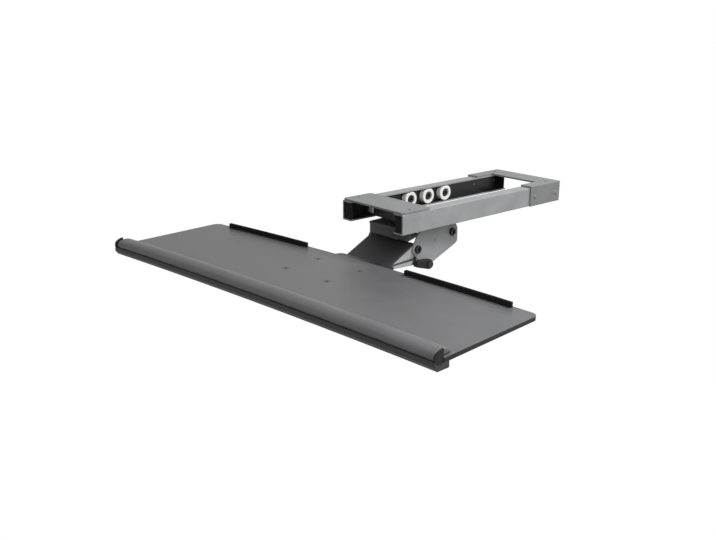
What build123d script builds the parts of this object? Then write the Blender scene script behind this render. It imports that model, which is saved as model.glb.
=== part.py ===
from build123d import *
import math
import os

os.makedirs("parts", exist_ok=True)

# An under-desk keyboard tray: a roller track that screws to the underside of the desk,
# a carriage with a swivel, a levelled lift arm, and a tilting platform with a palm rest.
# Millimetres. +Z is up and z = 0 is the underside of the desk. X is to the user's right
# and Y runs away from the user, from the centre of the four desk screws.

# Steel gauges and general clearances
DESK_PLATE = 3
RAIL_WALL = 2.5
ARM_GAUGE = 3
BRACKET_GAUGE = 3
RUNNING_GAP = 0.05
WASHER_GAP = 1

# Track
TRACK_LENGTH = 380
TRACK_WIDTH = 140
RAIL_HEIGHT = 32
RAIL_FLANGE = 20
RAIL_BEND = 1.5
FRONT_PLATE_DEPTH = 60
REAR_STRIP_DEPTH = 40
REAR_CHEEK_LENGTH = 80
REAR_CHEEK_WALL = 2.5
PLATE_CORNER = 6
DESK_SCREW_SIDE = 12
DESK_SCREW_END = 24
DESK_SCREW_HOLE = 2.6
SCREW_ACCESS_HOLE = 5
STOP_LENGTH = 4
STOP_INSET = 2
STOP_SIDE_GAP = 0.5
RIVET_HEAD = 4
RIVET_CROWN = 1.6
RIVET_SHANK = 2.4
RIVET_EDGE = 12

# Carriage and rollers
SWIVEL_SETBACK = 83
CARRIAGE_FRONT = -38
CARRIAGE_BACK = 163
CARRIAGE_WEB_DEPTH = 78
CARRIAGE_WALL = 3
CARRIAGE_BAR_HEIGHT = 22
CARRIAGE_BAR_INSET = 2.5
CARRIAGE_FLOOR_GAP = 1
CARRIAGE_LIP_HEIGHT = 25
CARRIAGE_LIP_HALF_WIDTH = 47
ROLLER_GAP = 0.1
ROLLER_WIDTH = 10
ROLLER_FIRST = 52
ROLLER_PITCH = 42
ROLLERS_PER_SIDE = 3
ROLLER_RECESS = 8
ROLLER_RECESS_DEPTH = 2.5
ROLLER_BOLT = 4
ROLLER_BOLT_HEAD = 6.5
ROLLER_BOLT_CAP = 2.2
GLIDE_LENGTH = 26
GLIDE_WIDTH = 9
GLIDE_SETBACK = 4

# Swivel
SWIVEL_REST_ANGLE = 5
SWIVEL_STUD = 6
SWIVEL_STUD_HEAD = 11
SWIVEL_HEAD_HEIGHT = 5
SWIVEL_NUT = 10
SWIVEL_NUT_HEIGHT = 7
BEARING_RADIUS = 32
BEARING_HEIGHT = 6
YOKE_HALF_WIDTH = 45
YOKE_FRONT = 50
YOKE_BACK = 62
YOKE_CORNER = 3
YOKE_APRON_HALF_WIDTH = 42
YOKE_APRON_HEIGHT = 14
APRON_PANEL_MARGIN = 4
APRON_PANEL_PROUD = 0.8

# Lift arm. Side-view places are (back from the swivel axis, above the platform top).
PLATFORM_DROP = 77
LIFT_PIVOT = (48, 21)
HEAD_PIVOT = (-38, 8.5)
LINK_OFFSET = (-1, -21)
PIVOT_PIN = 5
LINK_PIN = 4
BOLT_CAP = 6.5
BOLT_CAP_HEIGHT = 4
BOLT_CAP_EDGE = 1
ARM_BOSS = 10
ARM_REAR_RADIUS = 15
ARM_SHOULDER = (-28, 26)
ARM_REAR_CORNER = (56, 6)
ARM_HEEL = (-17, -19)
ARM_HEEL_RADIUS = 7
ARM_SPACER = 4
ARM_SPACER_BACK = 8
YOKE_LUG_RADIUS = 11
LINK_LUG_RADIUS = 7
LINK_HALF_WIDTH = 33
LINK_WALL = 2.5
LINK_BAR = 6
LINK_PIN_INSET = 0.5
LINK_WEB_SHARE = 0.45
HEAD_HALF_WIDTH = 39
HEAD_EAR = 7.5

# Counterbalance spring on the lift pin
SPRING_WIRE = 3.2
SPRING_MEAN_RADIUS = 10.5
SPRING_TURNS = 8.5
SPRING_PITCH = 4.6
SPRING_LEG = 18
SPRING_SLEEVE_GAP = 0.1

# Tray bracket
BRACKET_HALF_WIDTH = 45.5
BRACKET_BASE_WIDTH = 120
BRACKET_FOOT = (-99, -7.5)
BRACKET_BROW = (-46, 17)
BRACKET_HEEL = (-47, -17)
BRACKET_TOE = -115
BRACKET_CHIN = -13
BRACKET_EAR = 8.5
BRACKET_REACH = 244
BRACKET_CORNER = 10

# Lock lever
LEVER_LENGTH = 26
LEVER_HUB = 8
LEVER_TIP = 5.5
LEVER_WIDTH = 8
LEVER_EDGE = 1.5
LEVER_STUD = 3
LEVER_WASHER = 1

# Platform
PLATFORM_WIDTH = 670
PLATFORM_FRONT = -330
PLATFORM_REAR = -136
PLATFORM_THICKNESS = 6
PLATFORM_REAR_BOW = 12
PLATFORM_FRONT_BOW = 6
PLATFORM_REAR_CORNER = 12
PLATFORM_FRONT_CORNER = 4
TRAY_SCREW_SPACING_X = 90
TRAY_SCREW_SPACING_Y = 66
TRAY_SCREW_BACK = -196
TRAY_SCREW = 3
TRAY_SCREW_HEAD = 6
TRAY_SCREW_HEAD_DEPTH = 2.4
TRAY_SCREW_NUT = 5
TRAY_SCREW_NUT_HEIGHT = 4

# Palm rest
PALM_REST_DEPTH = 34
PALM_REST_NOSE = 12
PALM_REST_HEIGHT = 11
PALM_REST_NOSE_SHARES = (0.18, 0.78)
PALM_REST_SHOULDER_SHARE = 0.14
PALM_REST_CROWN_SHARE = 0.42
PALM_REST_TAIL = 3
PALM_END_CAP = 3
PALM_CAP_RIM = 0.6
PALM_CAP_REACH = 2
PALM_BASE_DROP = 14
PALM_BASE_SHAPE = ((-12, -2), (-12.5, -8), (-8, -14))
PALM_BASE_BACK = 12
SOFT_GAP = 0.2

# Keyboard stops
STOP_STRIP_HEIGHT = 8
STOP_STRIP_THICKNESS = 5
STOP_STRIP_INNER = 105
STOP_STRIP_MARGIN = 40
STOP_STRIP_SETBACK = 3
STOP_STRIP_EDGE = 1.5
STOP_STRIP_BAND = 24

# Places worked out from the sizes above
rail_top = -DESK_PLATE
rail_bottom = rail_top - RAIL_HEIGHT
rail_front = -TRACK_LENGTH / 2
rail_back = TRACK_LENGTH / 2
screw_spacing_x = TRACK_WIDTH - 2 * DESK_SCREW_SIDE
screw_spacing_y = TRACK_LENGTH - 2 * DESK_SCREW_END
swivel_y = rail_front + SWIVEL_SETBACK
rail_outer = TRACK_WIDTH / 2
rail_web_inner = rail_outer - RAIL_WALL
rail_mid_z = rail_top - RAIL_HEIGHT / 2
channel_height = RAIL_HEIGHT - 2 * RAIL_WALL
roller_radius = channel_height / 2 - ROLLER_GAP
bar_outer = rail_web_inner - CARRIAGE_BAR_INSET
bar_inner = bar_outer - CARRIAGE_WALL
carriage_bottom = rail_bottom + RAIL_WALL + CARRIAGE_FLOOR_GAP
carriage_front = swivel_y + CARRIAGE_FRONT
carriage_back = swivel_y + CARRIAGE_BACK
glide_y = carriage_front + GLIDE_SETBACK + GLIDE_LENGTH / 2
yoke_top = carriage_bottom - BEARING_HEIGHT
yoke_bottom = yoke_top - ARM_GAUGE
arm_outer = YOKE_HALF_WIDTH + WASHER_GAP + ARM_GAUGE
platform_bottom = -PLATFORM_THICKNESS
rear_half_width = rail_outer + REAR_CHEEK_WALL
rivet_rows = [rail_back - RIVET_EDGE, rail_back - REAR_CHEEK_LENGTH + RIVET_EDGE]
rivet_grip = RAIL_WALL + REAR_CHEEK_WALL
roller_y = [swivel_y + ROLLER_FIRST + ROLLER_PITCH * i for i in range(ROLLERS_PER_SIDE)]
roller_inner = bar_inner - WASHER_GAP - ROLLER_WIDTH
link_pivot = (LIFT_PIVOT[0] + LINK_OFFSET[0], LIFT_PIVOT[1] + LINK_OFFSET[1])
link_head_pivot = (HEAD_PIVOT[0] + LINK_OFFSET[0], HEAD_PIVOT[1] + LINK_OFFSET[1])

# The swivelled frame: its origin is on the swivel axis, level with the platform top,
# and at rest it is turned a few degrees from the track.
swivel_turn = math.radians(SWIVEL_REST_ANGLE)
swivel = Plane(
    origin=(0, swivel_y, -PLATFORM_DROP),
    x_dir=(math.cos(swivel_turn), math.sin(swivel_turn), 0),
    z_dir=(0, 0, 1),
)


def track_side(x):
    """Side-view plane of the track at x: its first axis is Y and its second is Z."""
    return Plane(origin=(x, 0, 0), x_dir=(0, 1, 0), z_dir=(1, 0, 0))


def track_level(z):
    """Plan-view plane of the track at height z."""
    return Plane.XY.offset(z)


def arm_side(x):
    """Side-view plane of the swivelled parts at x across them."""
    return Plane(swivel.from_local_coords((x, 0, 0)), x_dir=swivel.y_dir, z_dir=swivel.x_dir)


def arm_level(z):
    """Plan-view plane of the swivelled parts, z above the platform top."""
    return Plane(swivel.from_local_coords((0, 0, z)), x_dir=swivel.x_dir, z_dir=(0, 0, 1))


def above_platform(z):
    """Height above the platform top of a level given from the desk."""
    return z + PLATFORM_DROP


def save(part, label):
    """Name a finished piece and write its STEP file."""
    part.label = label
    export_step(part, f"parts/{label}.step")


# Rails: roll-formed channels that open towards each other
with BuildPart() as rail_right:
    with BuildSketch(Plane.XZ.offset(-rail_back)):
        with Locations((rail_outer - RAIL_FLANGE / 2, rail_mid_z)):
            Rectangle(RAIL_FLANGE, RAIL_HEIGHT)
        with Locations((rail_web_inner - RAIL_FLANGE / 2, rail_mid_z)):
            Rectangle(RAIL_FLANGE, channel_height, mode=Mode.SUBTRACT)
    extrude(amount=TRACK_LENGTH)
    web_edges = rail_right.edges().filter_by(Axis.Y).group_by(Axis.X)[-1]
    fillet(web_edges, RAIL_BEND)
    with BuildSketch(track_level(rail_top - RAIL_WALL)):
        with GridLocations(screw_spacing_x, screw_spacing_y, 2, 2):
            Circle(SCREW_ACCESS_HOLE)
    extrude(amount=RAIL_WALL, mode=Mode.SUBTRACT)
    with BuildSketch(track_side(rail_web_inner)):
        for y in rivet_rows:
            with Locations((y, rail_mid_z)):
                Circle(RIVET_SHANK)
    extrude(amount=RAIL_WALL, mode=Mode.SUBTRACT)

with BuildPart() as rail_left:
    add(mirror(rail_right.part, about=Plane.YZ))

# Front plate over both rails
with BuildPart() as front_plate:
    with BuildSketch(track_level(rail_top)):
        with Locations((0, rail_front + FRONT_PLATE_DEPTH / 2)):
            RectangleRounded(TRACK_WIDTH, FRONT_PLATE_DEPTH, PLATE_CORNER)
        with GridLocations(screw_spacing_x, screw_spacing_y, 2, 2):
            Circle(DESK_SCREW_HOLE, mode=Mode.SUBTRACT)
    extrude(amount=DESK_PLATE)

# Rear bracket: a strip across the rails with a cheek down the outside of each
with BuildPart() as rear_bracket:
    with BuildSketch(track_level(rail_top)):
        with Locations((0, rail_back - REAR_STRIP_DEPTH / 2)):
            Rectangle(2 * rear_half_width, REAR_STRIP_DEPTH)
        with Locations((0, rail_back - REAR_CHEEK_LENGTH / 2)):
            with GridLocations(2 * rail_outer - RAIL_FLANGE + REAR_CHEEK_WALL, 0, 2, 1):
                Rectangle(RAIL_FLANGE + REAR_CHEEK_WALL, REAR_CHEEK_LENGTH)
        with GridLocations(screw_spacing_x, screw_spacing_y, 2, 2):
            Circle(DESK_SCREW_HOLE, mode=Mode.SUBTRACT)
    extrude(amount=DESK_PLATE)
    with BuildSketch(track_level(rail_bottom)):
        with Locations((0, rail_back - REAR_CHEEK_LENGTH / 2)):
            with GridLocations(2 * rail_outer + REAR_CHEEK_WALL, 0, 2, 1):
                Rectangle(REAR_CHEEK_WALL, REAR_CHEEK_LENGTH)
    extrude(amount=RAIL_HEIGHT)
    outer_edges = rear_bracket.edges().filter_by(Axis.Y)
    fillet(outer_edges.group_by(Axis.Z)[-1].group_by(Axis.X)[0], RAIL_BEND)
    outer_edges = rear_bracket.edges().filter_by(Axis.Y)
    fillet(outer_edges.group_by(Axis.Z)[-1].group_by(Axis.X)[-1], RAIL_BEND)
    with BuildSketch(track_side(-rear_half_width)):
        for y in rivet_rows:
            with Locations((y, rail_mid_z)):
                Circle(RIVET_SHANK)
    extrude(amount=2 * rear_half_width, mode=Mode.SUBTRACT)

# Rivets that hold the rear cheeks to the rails: domed outside, flat inside
def rivet(side, y):
    """One rivet through a cheek and its rail web, as half a profile turned about its axis."""
    outer = side * rear_half_width
    axis_plane = Plane(origin=(outer, y, rail_mid_z), x_dir=(side, 0, 0), z_dir=(0, -side, 0))
    with BuildPart() as piece:
        with BuildSketch(axis_plane):
            with BuildLine():
                Line((-rivet_grip, 0), (RIVET_CROWN, 0))
                ThreePointArc(
                    (RIVET_CROWN, 0),
                    (RIVET_CROWN * math.cos(math.pi / 4), RIVET_HEAD * math.sin(math.pi / 4)),
                    (0, RIVET_HEAD),
                )
                Line((0, RIVET_HEAD), (0, RIVET_SHANK))
                Line((0, RIVET_SHANK), (-rivet_grip, RIVET_SHANK))
                Line((-rivet_grip, RIVET_SHANK), (-rivet_grip, 0))
            make_face()
        revolve(axis=Axis(axis_plane.origin, axis_plane.x_dir))
    return piece.part


rivets = Compound(children=[rivet(side, y) for side in (-1, 1) for y in rivet_rows])

# Rubber stops that close both ends of each rail
stop_y = [rail_front + STOP_INSET + STOP_LENGTH / 2, rail_back - STOP_INSET - STOP_LENGTH / 2]
stop_width = RAIL_FLANGE - RAIL_WALL - STOP_SIDE_GAP
with BuildPart() as track_stops:
    with BuildSketch(track_level(rail_bottom + RAIL_WALL)):
        for y in stop_y:
            with Locations((0, y)):
                with GridLocations(2 * rail_web_inner - stop_width, 0, 2, 1):
                    RectangleRounded(stop_width, STOP_LENGTH, RAIL_BEND)
    extrude(amount=channel_height)

# Carriage: a web between the rails whose side bars reach back inside the channels
with BuildPart() as carriage:
    with BuildSketch(track_level(carriage_bottom)):
        with Locations((0, carriage_front + CARRIAGE_WEB_DEPTH / 2)):
            Rectangle(2 * bar_outer, CARRIAGE_WEB_DEPTH)
        with Locations((0, swivel_y)):
            Circle(SWIVEL_STUD, mode=Mode.SUBTRACT)
        with Locations((0, glide_y)):
            with GridLocations(2 * bar_inner - GLIDE_WIDTH, 0, 2, 1):
                Rectangle(GLIDE_WIDTH, GLIDE_LENGTH, mode=Mode.SUBTRACT)
    extrude(amount=CARRIAGE_WALL)
    with BuildSketch(track_level(carriage_bottom)):
        with Locations((0, (carriage_front + carriage_back) / 2)):
            with GridLocations(bar_outer + bar_inner, 0, 2, 1):
                Rectangle(CARRIAGE_WALL, carriage_back - carriage_front)
    extrude(amount=CARRIAGE_BAR_HEIGHT)
    with BuildSketch(track_level(carriage_bottom)):
        with Locations((0, carriage_front + CARRIAGE_WALL / 2)):
            Rectangle(2 * CARRIAGE_LIP_HALF_WIDTH, CARRIAGE_WALL)
    extrude(amount=CARRIAGE_LIP_HEIGHT)
    rear_corners = carriage.edges().filter_by(Axis.X).group_by(Axis.Y)[-1]
    fillet(rear_corners, CARRIAGE_BAR_HEIGHT / 4)
    with BuildSketch(track_side(-bar_outer)):
        for y in roller_y:
            with Locations((y, rail_mid_z)):
                Circle(ROLLER_BOLT)
    extrude(amount=2 * bar_outer, mode=Mode.SUBTRACT)


def roller(side, y):
    """One nylon roller with a recess for its bolt head on the open side."""
    face = Plane(origin=(side * roller_inner, y, rail_mid_z), z_dir=(side, 0, 0))
    with BuildPart() as wheel:
        with BuildSketch(face):
            Circle(roller_radius)
        extrude(amount=ROLLER_WIDTH)
        rims = wheel.edges().filter_by(GeomType.CIRCLE)
        chamfer(rims, ROLLER_GAP * 8)
        with BuildSketch(face):
            Circle(ROLLER_RECESS)
        extrude(amount=ROLLER_RECESS_DEPTH, mode=Mode.SUBTRACT)
        with BuildSketch(face):
            Circle(ROLLER_BOLT + RUNNING_GAP)
        extrude(amount=ROLLER_WIDTH, mode=Mode.SUBTRACT)
    return wheel.part


def roller_bolt(side, y):
    """Shoulder bolt of one roller: a domed cap in the recess and a shank to the bar."""
    cap_seat = roller_inner + ROLLER_RECESS_DEPTH - RUNNING_GAP
    face = Plane(origin=(side * cap_seat, y, rail_mid_z), z_dir=(side, 0, 0))
    with BuildPart() as bolt:
        with BuildSketch(face):
            Circle(ROLLER_BOLT_HEAD)
        extrude(amount=-ROLLER_BOLT_CAP)
        rim = bolt.faces().sort_by(Axis.X)[0 if side > 0 else -1].edges()
        fillet(rim, ROLLER_BOLT_CAP / 2)
        with BuildSketch(face):
            Circle(ROLLER_BOLT)
        extrude(amount=bar_outer - cap_seat)
    return bolt.part


roller_bolts = Compound(children=[roller_bolt(side, y) for side in (-1, 1) for y in roller_y])

# Nylon glides that fill notches in the web and steady the carriage in the channels
with BuildPart() as front_glides:
    with BuildSketch(track_level(rail_bottom + RAIL_WALL + ROLLER_GAP)):
        with Locations((0, glide_y)):
            with GridLocations(2 * bar_inner - GLIDE_WIDTH, 0, 2, 1):
                Rectangle(GLIDE_WIDTH, GLIDE_LENGTH)
    extrude(amount=channel_height - 2 * ROLLER_GAP)
    nose_edges = front_glides.edges().filter_by(Axis.X)
    fillet(nose_edges, RAIL_BEND)

# Swivel: a flanged stud through the carriage, a nylon bearing and a nut under the yoke
with BuildPart() as swivel_stud:
    with BuildSketch(track_level(carriage_bottom + CARRIAGE_WALL)):
        with Locations((0, swivel_y)):
            Circle(SWIVEL_STUD_HEAD)
    extrude(amount=SWIVEL_HEAD_HEIGHT)
    fillet(swivel_stud.faces().sort_by(Axis.Z)[-1].edges(), BOLT_CAP_EDGE)
    with BuildSketch(track_level(carriage_bottom + CARRIAGE_WALL)):
        with Locations((0, swivel_y)):
            Circle(SWIVEL_STUD)
    extrude(amount=yoke_bottom - WASHER_GAP - SWIVEL_NUT_HEIGHT - carriage_bottom - CARRIAGE_WALL)

with BuildPart() as swivel_bearing:
    with BuildSketch(track_level(carriage_bottom)):
        with Locations((0, swivel_y)):
            Circle(BEARING_RADIUS)
            Circle(SWIVEL_STUD, mode=Mode.SUBTRACT)
    extrude(amount=RUNNING_GAP - BEARING_HEIGHT)

with BuildPart() as swivel_nut:
    with BuildSketch(track_level(yoke_bottom - RUNNING_GAP)):
        with Locations((0, swivel_y)):
            Circle(SWIVEL_NUT + BOLT_CAP_EDGE)
            Circle(SWIVEL_STUD, mode=Mode.SUBTRACT)
    extrude(amount=RUNNING_GAP - WASHER_GAP)
    with BuildSketch(track_level(yoke_bottom - WASHER_GAP)):
        with Locations((0, swivel_y)):
            RegularPolygon(SWIVEL_NUT, side_count=6)
            Circle(SWIVEL_STUD, mode=Mode.SUBTRACT)
    extrude(amount=-SWIVEL_NUT_HEIGHT)

# Yoke: the plate that swivels, with an apron in front and two lugs at the back
yoke_z = above_platform(yoke_bottom)
lug_inner = YOKE_HALF_WIDTH - ARM_GAUGE
with BuildPart() as yoke:
    with BuildSketch(arm_level(yoke_z)):
        with Locations((0, (YOKE_BACK - YOKE_FRONT) / 2)):
            RectangleRounded(2 * YOKE_HALF_WIDTH, YOKE_BACK + YOKE_FRONT, YOKE_CORNER)
        Circle(SWIVEL_STUD + RUNNING_GAP, mode=Mode.SUBTRACT)
    extrude(amount=ARM_GAUGE)
    with BuildSketch(arm_level(yoke_z)):
        with Locations((0, ARM_GAUGE / 2 - YOKE_FRONT)):
            Rectangle(2 * YOKE_APRON_HALF_WIDTH, ARM_GAUGE)
    extrude(amount=-YOKE_APRON_HEIGHT)
    with BuildSketch(arm_level(yoke_z - APRON_PANEL_MARGIN)):
        with Locations((0, -YOKE_FRONT - APRON_PANEL_PROUD / 2)):
            Rectangle(2 * (YOKE_APRON_HALF_WIDTH - 2 * APRON_PANEL_MARGIN), APRON_PANEL_PROUD)
    extrude(amount=2 * APRON_PANEL_MARGIN - YOKE_APRON_HEIGHT)
    for inner in (-YOKE_HALF_WIDTH, lug_inner):
        with BuildSketch(arm_side(inner)):
            with Locations(LIFT_PIVOT, (LIFT_PIVOT[0], yoke_z)):
                Circle(YOKE_LUG_RADIUS)
            with Locations(link_pivot):
                Circle(LINK_LUG_RADIUS)
            make_hull()
            with Locations((LIFT_PIVOT[0], yoke_z + YOKE_LUG_RADIUS)):
                Rectangle(4 * YOKE_LUG_RADIUS, 2 * YOKE_LUG_RADIUS, mode=Mode.SUBTRACT)
            with Locations(LIFT_PIVOT):
                Circle(PIVOT_PIN, mode=Mode.SUBTRACT)
            with Locations(link_pivot):
                Circle(LINK_PIN, mode=Mode.SUBTRACT)
        extrude(amount=ARM_GAUGE)


def cross_pin(place, radius, half_length, cap_radius, cap_height):
    """A pin across the arm with a domed cap at each end, turned about its own axis."""
    with BuildPart() as pin:
        with BuildSketch(arm_side(-half_length)):
            with Locations(place):
                Circle(radius)
        extrude(amount=2 * half_length)
        for start, direction in ((-half_length, -1), (half_length, 1)):
            with BuildSketch(arm_side(start)):
                with Locations(place):
                    Circle(cap_radius)
            extrude(amount=direction * cap_height)
        outer_rims = [
            pin.faces().sort_by(Axis.X)[0].edges(),
            pin.faces().sort_by(Axis.X)[-1].edges(),
        ]
        fillet(outer_rims[0] + outer_rims[1], BOLT_CAP_EDGE)
    return pin.part


arm_cap_seat = arm_outer + RUNNING_GAP
link_pin_end = BOLT_CAP_EDGE + 2 * RUNNING_GAP
lift_pin = cross_pin(LIFT_PIVOT, PIVOT_PIN, arm_cap_seat, BOLT_CAP, BOLT_CAP_HEIGHT)
tilt_pin = cross_pin(HEAD_PIVOT, PIVOT_PIN, arm_cap_seat, BOLT_CAP, BOLT_CAP_HEIGHT)
yoke_pin_seat = YOKE_HALF_WIDTH - LINK_PIN_INSET
link_rear_pin = cross_pin(link_pivot, LINK_PIN, yoke_pin_seat, LINK_PIN, link_pin_end)
link_front_pin = cross_pin(link_head_pivot, LINK_PIN, HEAD_HALF_WIDTH, LINK_PIN, link_pin_end)


# Counterbalance spring: one wire, coiled round the lift pin, with a leg at each end
coil_length = SPRING_TURNS * SPRING_PITCH
coil_start = swivel.from_local_coords((-coil_length / 2, LIFT_PIVOT[0], LIFT_PIVOT[1]))
with BuildPart() as lift_spring:
    with BuildLine():
        coil = Helix(
            SPRING_PITCH,
            coil_length,
            SPRING_MEAN_RADIUS,
            center=coil_start,
            direction=swivel.x_dir,
        )
    with BuildSketch(Plane(coil @ 0, z_dir=coil % 0)):
        Circle(SPRING_WIRE / 2)
    sweep(path=coil, is_frenet=True)
    for end, way in ((0, -1), (1, 1)):
        with BuildSketch(Plane(coil @ end, z_dir=way * (coil % end))):
            Circle(SPRING_WIRE / 2)
        extrude(amount=SPRING_LEG)

with BuildPart() as spring_sleeve:
    sleeve_half = coil_length / 2 + SPRING_WIRE
    with BuildSketch(arm_side(-sleeve_half)):
        with Locations(LIFT_PIVOT):
            Circle(SPRING_MEAN_RADIUS - SPRING_WIRE / 2 - SPRING_SLEEVE_GAP)
            Circle(PIVOT_PIN, mode=Mode.SUBTRACT)
    extrude(amount=2 * sleeve_half)

print("least gap between spring turns:", round(SPRING_PITCH - SPRING_WIRE, 2), "mm")

# Lift arm: two shaped plates joined by a spacer tube
with BuildPart() as arm_plate_right:
    with BuildSketch(arm_side(arm_outer - ARM_GAUGE)):
        with Locations(HEAD_PIVOT, ARM_SHOULDER):
            Circle(ARM_BOSS)
        with Locations(LIFT_PIVOT):
            Circle(ARM_REAR_RADIUS)
        with Locations(ARM_HEEL, ARM_REAR_CORNER):
            Circle(ARM_HEEL_RADIUS)
        make_hull()
        with Locations(LIFT_PIVOT, HEAD_PIVOT):
            Circle(PIVOT_PIN + RUNNING_GAP, mode=Mode.SUBTRACT)
        with Locations(ARM_HEEL):
            Circle(LEVER_STUD, mode=Mode.SUBTRACT)
        with Locations((ARM_SPACER_BACK, (LIFT_PIVOT[1] + HEAD_PIVOT[1]) / 2)):
            Circle(LEVER_STUD, mode=Mode.SUBTRACT)
    extrude(amount=ARM_GAUGE)

with BuildPart() as arm_plate_left:
    add(mirror(arm_plate_right.part, about=Plane(swivel.origin, z_dir=swivel.x_dir)))

with BuildPart() as arm_spacer:
    spacer_place = (ARM_SPACER_BACK, (LIFT_PIVOT[1] + HEAD_PIVOT[1]) / 2)
    spacer_half = arm_outer - ARM_GAUGE
    with BuildSketch(arm_side(-spacer_half)):
        with Locations(spacer_place):
            Circle(ARM_SPACER)
    extrude(amount=2 * spacer_half)
    with BuildSketch(arm_side(-arm_outer - BOLT_CAP_EDGE)):
        with Locations(spacer_place):
            Circle(LEVER_STUD)
    extrude(amount=2 * (arm_outer + BOLT_CAP_EDGE))

# Levelling link: a channel that keeps the head upright while the arm swings
link_inner = LINK_HALF_WIDTH - LINK_WALL
link_run = math.dist(link_pivot, link_head_pivot)
link_middle = (
    (link_pivot[0] + link_head_pivot[0]) / 2,
    (link_pivot[1] + link_head_pivot[1]) / 2,
)
link_rise = link_pivot[1] - link_head_pivot[1]
link_slope = math.degrees(math.atan2(link_rise, link_pivot[0] - link_head_pivot[0]))
with BuildPart() as levelling_link:
    for inner in (-LINK_HALF_WIDTH, link_inner):
        with BuildSketch(arm_side(inner)):
            with Locations(link_pivot, link_head_pivot):
                Circle(LINK_BAR)
            make_hull()
            with Locations(link_pivot, link_head_pivot):
                Circle(LINK_PIN + RUNNING_GAP, mode=Mode.SUBTRACT)
        extrude(amount=LINK_WALL)
    with BuildSketch(arm_side(-link_inner - LINK_WALL / 2)):
        with Locations(Location(link_middle, link_slope)):
            with Locations((0, LINK_WALL - LINK_BAR)):
                Rectangle(link_run * LINK_WEB_SHARE, LINK_WALL)
    extrude(amount=2 * link_inner + LINK_WALL)

# Head: two ears and a crosspiece, held level by the link
with BuildPart() as head_block:
    for inner in (-HEAD_HALF_WIDTH, HEAD_HALF_WIDTH - ARM_GAUGE):
        with BuildSketch(arm_side(inner)):
            with Locations(HEAD_PIVOT, link_head_pivot):
                Circle(HEAD_EAR)
            make_hull()
            with Locations(HEAD_PIVOT):
                Circle(PIVOT_PIN, mode=Mode.SUBTRACT)
            with Locations(link_head_pivot):
                Circle(LINK_PIN, mode=Mode.SUBTRACT)
        extrude(amount=ARM_GAUGE)
    with BuildSketch(arm_side(-HEAD_HALF_WIDTH)):
        with Locations(HEAD_PIVOT):
            Circle(HEAD_EAR)
            Circle(PIVOT_PIN, mode=Mode.SUBTRACT)
    extrude(amount=2 * HEAD_HALF_WIDTH)

# Tray bracket: a base under the platform and two flanges that carry the tilt ears
bracket_inner = BRACKET_HALF_WIDTH - BRACKET_GAUGE
base_top = platform_bottom
base_bottom = base_top - BRACKET_GAUGE
hood_angle = math.atan2(BRACKET_BROW[1] - BRACKET_FOOT[1], BRACKET_BROW[0] - BRACKET_FOOT[0])
hood_drop = (BRACKET_GAUGE * math.sin(hood_angle), BRACKET_GAUGE * math.cos(hood_angle))
brow_below = (BRACKET_BROW[0] + hood_drop[0], BRACKET_BROW[1] - hood_drop[1])
with BuildPart() as tray_bracket:
    with BuildSketch(arm_level(base_bottom)):
        with Locations((0, BRACKET_FOOT[0] - (BRACKET_REACH + BRACKET_FOOT[0]) / 2)):
            RectangleRounded(BRACKET_BASE_WIDTH, BRACKET_REACH + BRACKET_FOOT[0], BRACKET_CORNER)
        with Locations((0, TRAY_SCREW_BACK)):
            with GridLocations(TRAY_SCREW_SPACING_X, TRAY_SCREW_SPACING_Y, 2, 2):
                Circle(TRAY_SCREW, mode=Mode.SUBTRACT)
    extrude(amount=BRACKET_GAUGE)
    for inner in (-BRACKET_HALF_WIDTH, bracket_inner):
        with BuildSketch(arm_side(inner)):
            with BuildLine():
                Polyline(
                    (BRACKET_TOE, base_bottom),
                    (BRACKET_TOE, base_top),
                    (BRACKET_FOOT[0], base_top),
                    (BRACKET_FOOT[0], base_bottom),
                    (BRACKET_FOOT[0] + hood_drop[0], base_bottom),
                    brow_below,
                    HEAD_PIVOT,
                    BRACKET_HEEL,
                    (BRACKET_FOOT[0], BRACKET_CHIN),
                    close=True,
                )
            make_face()
            with Locations(HEAD_PIVOT):
                Circle(BRACKET_EAR)
                Circle(PIVOT_PIN + RUNNING_GAP, mode=Mode.SUBTRACT)
        extrude(amount=BRACKET_GAUGE)

# Hood: a sloping plate on the flanges that covers the head from above
with BuildPart() as bracket_hood:
    with BuildSketch(arm_side(-BRACKET_HALF_WIDTH)):
        with BuildLine():
            Polyline(
                (BRACKET_FOOT[0], base_bottom),
                (BRACKET_FOOT[0], base_top),
                BRACKET_BROW,
                brow_below,
                (BRACKET_FOOT[0] + hood_drop[0], base_bottom),
                close=True,
            )
        make_face()
    extrude(amount=2 * BRACKET_HALF_WIDTH)

# Lock lever on the heel of the right arm plate
lever_inner = arm_outer + LEVER_WASHER
with BuildPart() as lock_lever:
    with BuildSketch(arm_side(lever_inner)):
        with Locations(ARM_HEEL):
            Circle(LEVER_HUB)
        with Locations((ARM_HEEL[0] - LEVER_LENGTH, ARM_HEEL[1] + LEVER_TIP)):
            Circle(LEVER_TIP)
        make_hull()
        with Locations(ARM_HEEL):
            Circle(LEVER_STUD + RUNNING_GAP, mode=Mode.SUBTRACT)
    extrude(amount=LEVER_WIDTH)
    outer_face = lock_lever.faces().sort_by(Axis.X)[-1]
    fillet(outer_face.outer_wire().edges(), LEVER_EDGE)

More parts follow.
